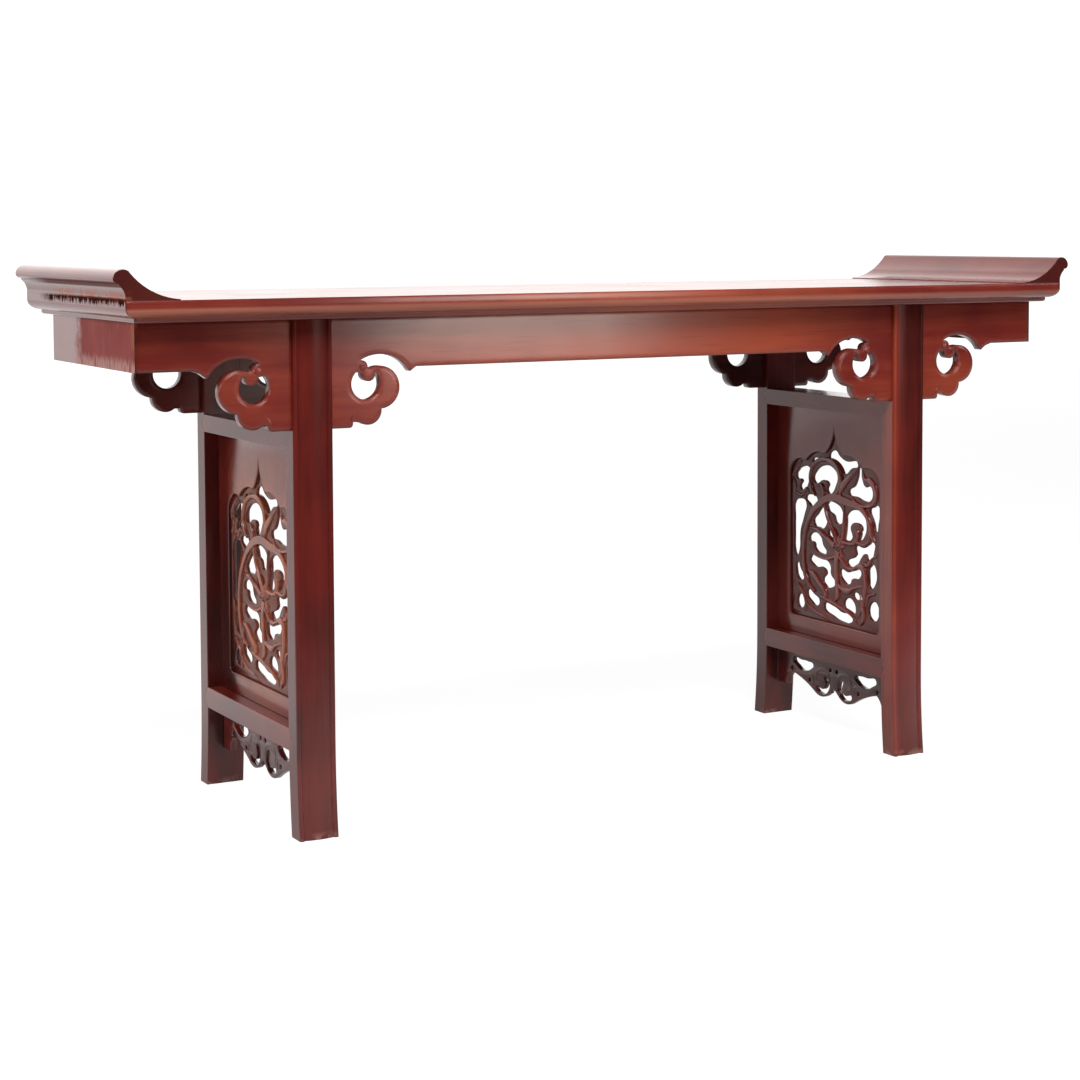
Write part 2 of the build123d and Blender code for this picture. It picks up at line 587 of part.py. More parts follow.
def hanging_apron():
    """Pierced apron under the lower rail, with solid ends beside the legs."""
    half = LEG_BACK
    end = half - HANG_END_WIDE
    toe = (end + 5, -HANG_END_DROP)
    arch = (end - 11, -HANG_ARCH_DROP)
    lobe_outside = (58, -HANG_LOBE_DROP + 5)
    lobe_inside = (14, -HANG_LOBE_DROP + 10)
    right = [
        Line((0, 0), (half, 0)),
        Line((half, 0), (half, -HANG_END_DROP)),
        Line((half, -HANG_END_DROP), toe),
        ThreePointArc(toe, (end - 1, -HANG_ARCH_DROP - 9), arch),
        ThreePointArc(arch, (90, -HANG_ARCH_DROP - 11), lobe_outside),
        ThreePointArc(lobe_outside, (HANG_LOBE_OUT, -HANG_LOBE_DROP), lobe_inside),
        ThreePointArc(lobe_inside, (6, -HANG_CUSP_DROP - 4), (0, -HANG_CUSP_DROP)),
    ]
    face = make_face(right + [mirror(edge, Plane.YZ) for edge in right])
    holes = [opening(rim) for rim in HANG_OPENINGS]
    holes += [disc(out, up, HANG_DOT_RADIUS) for out, up in HANG_DOTS]
    for hole in holes:
        face -= hole
        face -= mirror(hole, Plane.YZ)
    return side_plate(face, HANG_THICK, LOWER_RAIL_Z) + hang_tongue_pieces()


def hang_tongue_pieces():
    """Top and end tongues of the hanging apron."""
    whole = hang_tongue(0)
    return whole - block(LEG_X - LEG_WIDTH, LEG_X + LEG_WIDTH, -LEG_BACK, LEG_BACK, 0, LOWER_RAIL_Z)


parts["right_carved_panel"] = carved_panel()
parts["left_carved_panel"] = Pos(-2 * LEG_X, 0, 0) * parts["right_carved_panel"]
parts["right_hanging_apron"] = hanging_apron()
parts["left_hanging_apron"] = mirror(parts["right_hanging_apron"], Plane.YZ)

os.makedirs("parts", exist_ok=True)
for name, shape in parts.items():
    export_step(shape, "parts/" + name + ".step")
    print(name, len(shape.solids()), round(shape.volume / 1000))
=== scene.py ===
# %% [markdown]
# # Dressing a Chinese altar table
# The table is already modelled as solid pieces: a framed top with two upturned flanges, long aprons with
# cloud scrolls, four legs, and two side frames that hold carved panels. This lesson loads those pieces as
# a fixed frame, lacquers them, carves the vine panels and the hanging aprons, and lights it all on white
# paper.

# %% Load the frame
import bpy
from math import pi, radians
from mathutils import Matrix, Vector


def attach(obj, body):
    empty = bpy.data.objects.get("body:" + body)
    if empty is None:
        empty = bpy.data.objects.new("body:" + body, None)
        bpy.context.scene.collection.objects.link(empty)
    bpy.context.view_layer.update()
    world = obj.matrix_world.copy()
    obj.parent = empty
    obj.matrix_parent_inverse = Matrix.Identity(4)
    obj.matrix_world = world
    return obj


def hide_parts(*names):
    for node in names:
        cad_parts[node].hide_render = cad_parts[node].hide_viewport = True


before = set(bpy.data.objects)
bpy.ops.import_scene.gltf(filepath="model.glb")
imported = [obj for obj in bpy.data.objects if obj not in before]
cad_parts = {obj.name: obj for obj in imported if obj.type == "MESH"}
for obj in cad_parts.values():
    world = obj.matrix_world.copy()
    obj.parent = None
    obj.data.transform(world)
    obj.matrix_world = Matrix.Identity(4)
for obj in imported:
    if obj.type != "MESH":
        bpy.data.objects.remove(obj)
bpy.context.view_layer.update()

# %% [markdown]
# The new pieces and the wear have to sit where the solid pieces are, so their places are read off those.

# %% Places on the table, in metres
MM = 0.001


def ends(node, axis):
    """Where a solid piece starts and ends along X (0), Y (1) or Z (2), to a tenth of a millimetre."""
    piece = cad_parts[node]
    places = [(piece.matrix_world @ vertex.co)[axis] for vertex in piece.data.vertices]
    return round(min(places), 4), round(max(places), 4)


FRONT = ends("top_front_stile", 1)[0]           # front edge of the tabletop
LEFT_END = ends("top_left_end_rail", 0)[0]      # and its left edge
TABLETOP = ends("top_board_middle", 2)[1]
APRON_FACE = ends("back_apron", 1)[1]           # from the middle of the table
LEG_INSIDE = ends("left_back_leg", 1)[0]
BOARD_FACES = ends("right_carved_panel", 0)
HANGING_FACES = ends("right_hanging_apron", 0)
FRAME_X = round(sum(BOARD_FACES) / 2, 4)        # middle of each side frame
RAIL_FOOT, RAIL_TOP = ends("right_lower_rail", 2)
UPPER_RAIL_FOOT = ends("right_upper_rail", 2)[0]
print("tabletop at", TABLETOP, "side frames at", FRAME_X, "boards from", RAIL_TOP, "to", UPPER_RAIL_FOOT)

# %% [markdown]
# ## Where the viewer stands
# A long lens from the front left, a little above the tabletop, shows the front, the left end and a sliver
# of the top. The lens looks down by a few degrees, and the frame is shifted so that the table sits in the
# middle of the picture.

# %% Camera
EYE = Vector((-1.853, -3.318, 0.920))
TURN = radians(28.44)       # to the right of straight ahead
TILT = radians(3.63)        # downwards
LEAN = radians(-0.25)       # of the picture about its own middle
LENS = 74.9
SENSOR = 36
FRAME_SHIFT = -0.1565       # in widths of the picture
camera_data = bpy.data.cameras.new("viewer")
camera_data.lens = LENS
camera_data.sensor_width = SENSOR
camera_data.shift_y = FRAME_SHIFT
camera = bpy.data.objects.new("viewer", camera_data)
bpy.context.collection.objects.link(camera)
camera.matrix_world = (Matrix.Translation(EYE) @ Matrix.Rotation(-TURN, 4, "Z")
                       @ Matrix.Rotation(pi / 2 - TILT, 4, "X") @ Matrix.Rotation(LEAN, 4, "Z"))
bpy.context.scene.camera = camera
print("viewer at", tuple(round(value, 2) for value in EYE))

# %% [markdown]
# ## Shader sums as sentences
# Grain is arithmetic on noise. A small class wraps a node socket, so that a mask is written as a sum
# instead of a chain of nodes wired by hand. Each finish gets its own bench, which makes its nodes.

# %% A socket that can be added and multiplied
class Value:
    """An output socket of a bench. Sums with it make Math nodes."""
    def __init__(self, bench, socket):
        self.bench = bench
        self.socket = socket

    def sum(self, operation, *inputs, clamp=False):
        return self.bench.make("ShaderNodeMath", inputs, operation=operation, use_clamp=clamp)

    def __add__(self, other):
        return self.sum("ADD", self, other)

    def __sub__(self, other):
        return self.sum("SUBTRACT", self, other)

    def __rsub__(self, other):
        return self.sum("SUBTRACT", other, self)

    def __mul__(self, other):
        return self.sum("MULTIPLY", self, other)

    def __abs__(self):
        return self.sum("ABSOLUTE", self)

    def between(self, low, high):
        """0 below low, 1 above high, with a straight slope between them."""
        return self.sum("MULTIPLY", self - low, 1 / (high - low), clamp=True)

    def band(self, low, high, soft):
        """1 from low to high, falling to 0 over the soft distance on both sides."""
        return self.between(low - soft, low) * (1 - self.between(high, high + soft))


print("sockets can be summed")

# %% A bench that makes and wires nodes
class Bench:
    """The nodes of one material, or of the world."""
    def __init__(self, owner):
        owner.use_nodes = True
        self.nodes = owner.node_tree.nodes
        self.links = owner.node_tree.links

    def make(self, kind, inputs, out=0, **settings):
        """Adds a node: its settings first, then its sockets by place or by name."""
        node = self.nodes.new(kind)
        stops = settings.pop("stops", None)
        for key, setting in settings.items():
            setattr(node, key, setting)
        if stops:
            ramp = node.color_ramp
            while len(ramp.elements) < len(stops):
                ramp.elements.new(0.5)
            for element, (place, colour) in zip(ramp.elements, stops):
                element.position = place
                element.color = (*colour, 1)
        pairs = inputs.items() if isinstance(inputs, dict) else enumerate(inputs)
        for key, value in pairs:
            self.feed(node.inputs[key], value)
        return Value(self, node.outputs[out])

    def feed(self, target, value):
        """Wires a value to a socket, or sets a constant on it. Constant colours are opaque."""
        if isinstance(value, Value):
            self.links.new(value.socket, target)
        elif target.type == "RGBA":
            target.default_value = (*value, 1)
        else:
            target.default_value = value

    def spot(self):
        """The Object coordinates, in metres."""
        return self.make("ShaderNodeTexCoord", (), out="Object")

    def axes(self):
        """The three Object coordinates, one by one."""
        split = self.make("ShaderNodeSeparateXYZ", (self.spot(),))
        return [Value(self, socket) for socket in split.socket.node.outputs]

    def near(self, point, reach):
        """1 at a point of the table, falling to 0 at a distance."""
        gap = self.make("ShaderNodeVectorMath", (self.spot(), point), out=1, operation="DISTANCE")
        return (reach - gap).between(0, reach)

    def noise(self, stretch, detail=3.0, rough=0.5, shift=(0, 0, 0)):
        """Noise whose three frequencies, in lumps per metre, are given by stretch."""
        place = self.make("ShaderNodeMapping",
                          {"Vector": self.spot(), "Location": shift, "Scale": stretch})
        return self.make("ShaderNodeTexNoise",
                         {"Vector": place, "Scale": 1.0, "Detail": detail, "Roughness": rough})

    def blend(self, mask, under, over):
        """One colour over another, by a mask."""
        return self.make("ShaderNodeMix", {0: mask, 6: under, 7: over}, out=2, data_type="RGBA")


print("shader bench ready")

# %% [markdown]
# ## Red-brown lacquered hardwood
# The whole table is one dark rosewood under a clear glossy lacquer. Each piece is cut along its length, so
# the streaks run along X on the aprons, along Y on the ends and along Z on the legs and panels. The
# lacquer has closed the pores, so the grain is quiet: broad cloudy bands, a little orange and few dark
# specks. The gloss is the shader's own specular layer with a low roughness. The Bevel node turns the
# normals near each edge, which rounds the cloud scrolls like worn carving without touching the solid
# pieces.

# %% Lacquered rosewood
DARK = (0.050, 0.0085, 0.0070)
RED = (0.150, 0.0165, 0.0125)
WARM = (0.310, 0.056, 0.027)
WOOD_STOPS = ((0.32, DARK), (0.50, RED), (0.74, WARM))
GRAIN_ALONG = {"X": (1.2, 14, 14), "Y": (14, 1.2, 14), "Z": (14, 14, 1.2)}
PORES_ALONG = {"X": (14, 380, 380), "Y": (380, 14, 380), "Z": (380, 380, 14)}
CLOUDS = (3.5, 3.5, 3.5)    # lumps per metre of the broad changes of tone
HAZE = (9, 9, 9)            # and of those of the gloss
FINE = 5                    # the fine grain has this many times the lumps of the broad one
PAINTED_GLOW_SPOT = (0.0, -0.20, 0.77)  # painted light: the colour is lighter around the middle of the front apron
PAINTED_GLOW_REACH = 0.51


def rosewood(name, along, shift, tone_shift=0.0, round_edge=0.0015, dull=0.12, wear_and_painted_light=None):
    """Finish of one cut of wood. If given, the last argument adds wear, painted highlights and painted
    shade to colour and height, and says where wood is bare.
    """
    material = bpy.data.materials.new(name)
    bench = Bench(material)
    lacquer = bench.nodes["Principled BSDF"].inputs
    place = (shift, 0.37 * shift, 0.71 * shift)
    bands = bench.noise(GRAIN_ALONG[along], 4.0, 0.55, place)
    fine = bench.noise(tuple(FINE * value for value in GRAIN_ALONG[along]), 3.0, 0.6, place)
    pits = bench.noise(PORES_ALONG[along], 1.0, 0.5, place).between(0.62, 0.74)
    broad = bench.noise(CLOUDS, 3.0, 0.55, place)
    # a painted pool of light around the middle of the front apron
    lit = bench.near(PAINTED_GLOW_SPOT, PAINTED_GLOW_REACH)
    x, y, z = bench.axes()
    tone = bands * 0.36 + fine * 0.16 + broad * 0.48 + lit * 0.28 + tone_shift
    if along == "Z":
        # painted highlight: lighter down the left of the right front leg, more so towards its top
        painted_highlight = x.band(FRAME_X - 0.052, FRAME_X - 0.026, 0.010) * (1 - y.between(-0.19, -0.17))
        tone = tone + painted_highlight * (z.between(0.45, 0.72) * 0.12 + 0.16)
    wood = bench.make("ShaderNodeValToRGB", {0: tone}, stops=WOOD_STOPS)
    wood = bench.blend(pits * 0.22, wood, DARK)
    # the end grain of the flanges, level with the front edge, is dark
    front = 1 - y.between(FRONT + 0.0005, FRONT + 0.0008)
    flange_end = front * z.between(TABLETOP - 0.0005, TABLETOP + 0.0005)
    wood = bench.blend(flange_end * 0.85, wood, DARK)
    height = fine * 0.3 - pits * 0.1
    if wear_and_painted_light:
        wood, height, bare = wear_and_painted_light(bench, wood, height)
        gloss = Value(bench, bench.nodes["Principled BSDF"].outputs[0])
        matt = bench.make("ShaderNodeBsdfDiffuse", (wood,))
        both = bench.make("ShaderNodeMixShader", (bare, gloss, matt))
        bench.feed(bench.nodes["Material Output"].inputs["Surface"], both)
    edge = bench.make("ShaderNodeBevel", {"Radius": round_edge}, samples=6)
    bump = bench.make("ShaderNodeBump",
                      {"Height": height, "Strength": 0.4, "Distance": 0.0003, "Normal": edge})
    bench.feed(lacquer["Base Color"], wood)
    bench.feed(lacquer["Roughness"], bench.noise(HAZE, 3.0, 0.55, place) * 0.12 + dull)
    bench.feed(lacquer["Normal"], bump)
    return material


print("quiet grain, gloss and soft edges")

# %% [markdown]
# ## Wear
# The left end has been knocked about. The band under the flange is chipped in short dark dashes with bare
# orange wood above them, and the end apron has lost its gloss towards the front and is scratched along
# its lower edge. A dark line under the nose of the flange is painted shade. Each is a mask of place times
# noise.

# %% Wear and painted shade on the left end
CHIP = (0.035, 0.010, 0.008)
SMEAR = (0.230, 0.050, 0.020)
NOSE_SHADE = (0.150, 0.034, 0.022)
BARE_ORANGE = (0.430, 0.110, 0.065)
RUBBED_RED = (0.330, 0.062, 0.056)
SCRATCH = (0.55, 0.33, 0.29)
CORNER_WOOD = (0.42, 0.120, 0.045)


def chipped_band_painted_shade(bench, wood, height):
    """Short dark dashes where the left flange meets the end of the top, bare wood above them, and painted
    shade under the nose of the flange.
    """
    x, y, z = bench.axes()
    rise = z - TABLETOP
    left = 1 - x.between(LEFT_END + 0.005, LEFT_END + 0.011)
    ragged = bench.noise((6, 260, 40), 3.0, 0.65, (3, 1, 0))
    dashes = (ragged + rise.between(-0.0075, 0) * 0.14).between(0.50, 0.56)
    dashes = dashes * y.band(-0.240, 0.12, 0.06) * rise.band(-0.0065, 0, 0.004) * left
    bare = bench.noise((6, 60, 60), 3.0, 0.65, (1, 5, 0)).between(0.40, 0.54)
    bare = bare * y.band(-0.240, 0.06, 0.05) * rise.band(0.0005, 0.0100, 0.005) * left
    smear = y.band(-0.245, -0.10, 0.12) * rise.band(-0.0005, 0.0015, 0.003) * left
    # painted shade: a dark line under the nose of the flange, beyond the left end
    nose_shade = y.between(FRONT + 0.0005, FRONT + 0.0015) * (1 - y.between(0.10, 0.22))
    nose_shade = nose_shade * rise.band(0.0195, 0.0270, 0.0015)
    nose_shade = nose_shade * (1 - x.between(LEFT_END - 0.003, LEFT_END - 0.001))
    wood = bench.blend(bare * 0.80, wood, BARE_ORANGE)
    wood = bench.blend(smear * 0.7, wood, SMEAR)
    wood = bench.blend(dashes * 0.95, wood, CHIP)
    wood = bench.blend(nose_shade * 0.9, wood, NOSE_SHADE)
    return wood, height - dashes * 2, bare * 0.4 + dashes + smear * 0.5 + nose_shade * 0.8


def rubbed_end(bench, wood, height):
    """Left end apron: dull and redder towards the front, scratched pale along its lower edge."""
    _, y, z = bench.axes()
    ragged = bench.noise((1, 24, 34), 4.0, 0.65)
    rubbed = 1 - (y + ragged * 0.10).between(0.106, 0.134)
    patchy = bench.noise((1, 16, 12), 4.0, 0.65, (0, 7, 0)).between(0.30, 0.68)
    fringe = bench.noise((1, 110, 12), 4.0, 0.7, (0, 2, 0))
    low = (1 - (z + fringe * 0.040).between(0.744, 0.754)) * fringe.between(0.34, 0.50)
    nicks = bench.noise((1, 120, 14), 3.0, 0.7, (0, 9, 3)).between(0.60, 0.72)
    corner = (1 - (y + fringe * 0.02).between(-0.184, -0.176)) * z.between(0.742, 0.756)
    wood = bench.blend(rubbed * (patchy * 0.4 + 0.6), wood, RUBBED_RED)
    wood = bench.blend((low * 0.75 + nicks * 0.30) * rubbed, wood, SCRATCH)
    wood = bench.blend(corner * 0.7, wood, CORNER_WOOD)
    return wood, height - corner, rubbed * 0.88


print("left end chipped and rubbed")

# %% [markdown]
# Hands and dusters have rubbed the vine of the left panel down to orange wood, and the deep field of the
# boards is darkened as painted shade. The belly of the long moulding gets a painted orange highlight. The
# bottoms of the feet are bruised and pale, and the fronts of the legs have gone dull above the floor.

# %% Wear and painted shade on the carving, a painted highlight on the moulding, wear on the feet
BOARD_RED = (0.270, 0.046, 0.032)
VINE_ORANGE = (0.420, 0.115, 0.050)
BELLY_HIGHLIGHT = (0.500, 0.150, 0.085)
BRUISE = (0.34, 0.20, 0.16)


def worn_vine_painted_shade(bench, wood, height):
    """Red boards with painted shade on the deep field beside the stems, and the left vine worn to orange
    on its backs.
    """
    x, y, _ = bench.axes()
    # the boards are a lighter red, except the rear part of the left board beside the back leg, which stays
    # darker
    board = 1 - y.between(0.08, 0.12) * (1 - x.between(-0.1, 0.1))
    middle = bench.near((-FRAME_X, -0.01, 0.37), 0.24).between(0.06, 0.40)
    middle = middle * (1 - abs(y).between(0.126, 0.138))
    patchy = bench.noise((22, 22, 22), 3.0, 0.6).between(0.30, 0.58)
    # painted shade: darker where the carving is deep, near the middle of the board
    deep_shade = 1 - abs(abs(x) - FRAME_X).between(0.0026, 0.0052)
    wood = bench.blend(board * 0.55, wood, BOARD_RED)
    wood = bench.blend(middle * patchy * 0.8, wood, VINE_ORANGE)
    wood = bench.blend(deep_shade * 0.6, wood, DARK)
    return wood, height, middle * patchy * 0.15 + deep_shade * 0.35


def belly_painted_highlight(bench, wood, height):
    """Painted highlight: the belly of the long moulding is lighter orange, less so towards the right."""
    x, _, z = bench.axes()
    streaks = bench.noise((5, 5, 240), 3.0, 0.6).between(0.30, 0.62)
    # painted highlight on the lower half of the moulding's belly
    belly = (z - TABLETOP).band(-0.0235, -0.0150, 0.0045) * (1 - x.between(0.10, 0.75) * 0.6)
    belly = belly * (streaks * 0.4 + 0.6)
    wood = bench.blend(belly * 0.75, wood, BELLY_HIGHLIGHT)
    return wood, height, belly * 0.15


def bruised_feet(bench, wood, height):
    """Pale bruises around the bottom of each foot, and a front that dulls above the floor."""
    _, y, z = bench.axes()
    low = 1 - z.between(0.001, 0.012)
    bruise = bench.noise((45, 45, 60), 3.0, 0.6).between(0.50, 0.60) * low
    front = 1 - y.between(-0.2070, -0.2045)
    wood = bench.blend(bruise * 0.6, wood, BRUISE)
    return wood, height - bruise, bruise * 0.6 + front * z.between(0.06, 0.40) * 0.85


print("vine, moulding and feet worn")

# %% [markdown]
# ## The finishes
# One finish for each way of cutting the wood, and one for each piece that is worn or of another tone; the
# back apron's is darker as painted shade. The number after the direction moves the grain. The rest says
# how far the tone is shifted, how far its edges are rounded, how dull it is, how it is worn and where
# light or shade is painted on it.

# %% Make the finishes
LACQUER = {
    "X": rosewood("rosewood_along_x", "X", 1.3),
    "Y": rosewood("rosewood_along_y", "Y", 4.1),
    "Z": rosewood("rosewood_along_z", "Z", 7.7, tone_shift=-0.085, round_edge=0.0025, dull=0.18,
                  wear_and_painted_light=bruised_feet),
    "edge": rosewood("rosewood_edge", "X", 1.3, round_edge=0.0065, wear_and_painted_light=belly_painted_highlight),
    "apron": rosewood("rosewood_apron", "X", 2.2, tone_shift=0.07, round_edge=0.0110),
    "chipped": rosewood("rosewood_chipped", "Y", 5.3, round_edge=0.0020, wear_and_painted_light=chipped_band_painted_shade),
    "rubbed": rosewood("rosewood_rubbed", "Y", 6.1, round_edge=0.0020, wear_and_painted_light=rubbed_end),
    "hanging": rosewood("rosewood_hanging", "Y", 3.3, tone_shift=-0.10, round_edge=0.0020, dull=0.16),
    # painted shade: the back apron, inside the table, gets a darker copy of the lacquer along X
    "back": rosewood("rosewood_back_painted_shade", "X", 3.9, tone_shift=-0.10, round_edge=0.0110, dull=0.16),
    "carved": rosewood("rosewood_carved", "Z", 2.9, tone_shift=-0.06, round_edge=0.0020, wear_and_painted_light=worn_vine_painted_shade),
}
print("finishes:", ", ".join(material.name for material in LACQUER.values()))

# %% [markdown]
# ## Which way each piece was cut
# The finishes go on the solid pieces as they are. The name of a piece says which way it was cut and
# whether it is one of the worn ones.

# %% Give every piece its lacquer
def finish_of(node):
    """Which of the finishes a solid piece gets."""
    if "stile" in node:
        return "edge"
    if node == "front_apron":
        return "apron"
    if node == "back_apron":
        return "back"
    if node in ("left_flange", "top_left_end_rail"):
        return "chipped"
    if node == "left_end_apron":
        return "rubbed"
    if "leg" in node or "carved_panel" in node:
        return "Z"
    if "hanging" in node:
        return "hanging"
    if "end_" in node or "flange" in node or "rail" in node or "batten" in node:
        return "Y"
    return "X"


for node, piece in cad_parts.items():
    piece.data.materials.clear()
    piece.data.materials.append(LACQUER[finish_of(node)])
print("lacquered", len(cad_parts), "pieces")

# %% [markdown]
# ## Carved panels
# Each side frame holds one board. Its middle is sunk on both faces inside an ogee arch over stepped
# lobes, and a vine is cut through it. A flat curve is the quickest way to such a plate: one closed spline
# is the rim, more splines inside it are the openings, Extrude gives the thickness, and Bevel rounds every
# rim like a carver's knife. The stems get their round backs from tapered tubes laid in the plane of the
# board.

# %% A plate cut from flat rims
def arc(start, middle, end, steps=10):
    """Points on the circle through three points, without the last one."""
    (ax, ay), (bx, by), (cx, cy) = start, middle, end
    aa, bb, cc = (x * x + y * y for x, y in (start, middle, end))
    scale = 2 * (ax * (by - cy) + bx * (cy - ay) + cx * (ay - by))
    centre = Vector(((aa * (by - cy) + bb * (cy - ay) + cc * (ay - by)) / scale,
                     (aa * (cx - bx) + bb * (ax - cx) + cc * (bx - ax)) / scale))
    first, half, last = [Vector(point) - centre for point in (start, middle, end)]
    sweep = first.angle_signed(half) + half.angle_signed(last)
    points = [centre + Matrix.Rotation(-sweep * step / steps, 2) @ first for step in range(steps)]
    return [tuple(point) for point in points]


def cut_plate(name, rim, openings, thick, soft):
    """Plate in the XY plane, in millimetres. Its rim has corners, its openings are smooth."""
    curve = bpy.data.curves.new(name, "CURVE")
    curve.dimensions = "2D"
    curve.fill_mode = "BOTH"
    curve.resolution_u = 5
    curve.extrude = thick / 2 - soft
    curve.bevel_depth = soft
    curve.bevel_resolution = 2
    curve.offset = -soft
    corner = curve.splines.new("POLY")
    corner.points.add(len(rim) - 1)
    for point, (x, y) in zip(corner.points, rim):
        point.co = (x, y, 0, 1)
    corner.use_cyclic_u = True
    for opening in openings:
        smooth = curve.splines.new("BEZIER")
        smooth.bezier_points.add(len(opening) - 1)
        for point, (x, y) in zip(smooth.bezier_points, opening):
            point.co = (x, y, 0)
            point.handle_left_type = point.handle_right_type = "AUTO"
        smooth.use_cyclic_u = True
    return as_mesh(name, curve)


def as_mesh(name, curve):
    """Turns a curve into a mesh object."""
    thing = bpy.data.objects.new(name, curve)
    bpy.context.collection.objects.link(thing)
    bpy.ops.object.select_all(action="DESELECT")
    thing.select_set(True)
    bpy.context.view_layer.objects.active = thing
    bpy.ops.object.convert(target="MESH")
    return bpy.context.object


def tube(name, strokes, smooth=True, flat=1.0, limit=None, closed=False):
    """Tubes through points given as (x, y, radius). Flat scales their height, and limit planes it off."""
    curve = bpy.data.curves.new(name, "CURVE")
    curve.dimensions = "3D"
    curve.resolution_u = 6
    curve.bevel_depth = 1.0
    curve.bevel_resolution = 3
    curve.use_fill_caps = True
    for stroke in strokes:
        spline = curve.splines.new("BEZIER")
        spline.bezier_points.add(len(stroke) - 1)
        for point, (x, y, radius) in zip(spline.bezier_points, stroke):
            point.co = (x, y, 0)
            point.radius = radius
            point.handle_left_type = point.handle_right_type = "AUTO" if smooth else "VECTOR"
        spline.use_cyclic_u = closed
    thing = as_mesh(name, curve)
    for vertex in thing.data.vertices:
        vertex.co.z *= flat
        if limit:
            vertex.co.z = max(-limit, min(limit, vertex.co.z))
    return thing


def join(pieces, name):
    """One object from several."""
    bpy.ops.object.select_all(action="DESELECT")
    for piece in pieces:
        piece.select_set(True)
    bpy.context.view_layer.objects.active = pieces[0]
    bpy.ops.object.join()
    whole = bpy.context.object
    whole.name = name
    whole.data.name = name
    return whole


print("plate cutter ready")

# %% The sunk field and its openings
def both_sides(right):
    """A rim from its right half, given from the bottom to the top."""
    return right + [(-x, y) for x, y in reversed(right) if abs(x) > 0.01]


ARCH = both_sides(arc((127, 31), (134.8, 35.2), (139, 43), 4)
                  + arc((139, 300), (122.3, 323), (89, 326)) + arc((89, 326), (66.7, 341), (27.8, 344))
                  + arc((27.8, 344), (9.7, 364), (0, 396)) + [(0, 396)])
VINE_OPENINGS = (
    # around the small scroll under the ogee
    ((0, 350), (14, 340), (33, 333), (68, 330), (49, 322), (29, 310), (19, 317), (8, 326), (-19, 337)),
    ((-70, 326), (-55, 332), (-44, 331), (-59, 322)),
    ((-96, 313), (-78, 308), (-81, 291), (-101, 268), (-110, 274), (-104, 286), (-122, 291)),
    ((-31, 320), (-5, 316), (6, 304), (2, 288), (-16, 270), (-25, 276), (-21, 287), (-38, 293),
     (-58, 285), (-68, 292), (-63, 304)),
    ((-74, 262), (-56, 256), (-57, 250), (-71, 241), (-83, 247), (-92, 254)),
    # leaf and hooked tip beside it
    ((74, 326), (80, 306), (90, 292), (105, 294), (112, 282), (105, 269), (88, 267), (66, 272),
     (41, 278), (58, 291), (67, 307)),
    # outside the great oval, rear side
    ((-127, 244), (-110, 251), (-92, 247), (-98, 220), (-109, 193), (-113, 153), (-120, 144), (-127, 152),
     (-129, 182), (-129, 214)),
    ((-118, 132), (-108, 120), (-98, 104), (-110, 100), (-121, 114)),
    ((-111, 72), (-98, 68), (-99, 50), (-114, 50)),
    ((-84, 84), (-65, 78), (-48, 67), (-57, 58), (-75, 65), (-86, 74)),
    # outside the great oval, front side
    ((105, 254), (130, 261), (129, 230), (123, 215), (113, 234)),
    ((113, 156), (124, 143), (119, 119), (108, 112), (100, 128), (102, 146)),
    ((111, 87), (127, 86), (127, 59), (113, 56), (102, 69)),
    # upper half of the oval, with the hooked branch
    ((-37, 242), (-21, 233), (-25, 217), (-39, 203), (-67, 213), (-55, 228)),
    ((-25, 249), (3, 253), (23, 239), (21, 221), (3, 219), (-4, 231), (-22, 240)),
    ((68, 248), (86, 241), (94, 221), (89, 205), (77, 195), (66, 200), (81, 215), (68, 225),
     (47, 217), (51, 195), (21, 199), (33, 215), (33, 233)),
    ((-17, 205), (11, 197), (-5, 186), (-19, 192)),
    # lower half of the oval, beside the middle stem
    ((-68, 192), (-45, 187), (-37, 172), (-27, 160), (-42, 157), (-62, 165), (-65, 174), (-80, 179)),
    ((-78, 143), (-33, 147), (-15, 138), (-13, 122), (0, 107), (-15, 97), (-30, 98), (-37, 109),
     (-27, 123), (-39, 132), (-56, 130), (-68, 134)),
    ((117, 194), (117, 180), (109, 164), (99, 162), (91, 172), (78, 163), (69, 152), (37, 148),
     (64, 167), (62, 181), (87, 182)),
    ((16, 133), (40, 132), (78, 139), (73, 126), (52, 122), (45, 112), (30, 113)),
    # foot of the vine
    ((-33, 62), (-4, 64), (19, 57), (54, 49), (45, 41), (27, 40), (-4, 46)),
    ((39, 85), (56, 81), (63, 67), (59, 59), (42, 62), (28, 71)),
    ((63, 99), (75, 90), (66, 86), (56, 93)),
)
print("openings in each panel:", len(VINE_OPENINGS))

# %% [markdown]
# The stems run between the openings. Each is a tapered tube, thick in the middle of a leaf and thin at
# its curled tip, so that the light slides over a round back instead of a flat board.

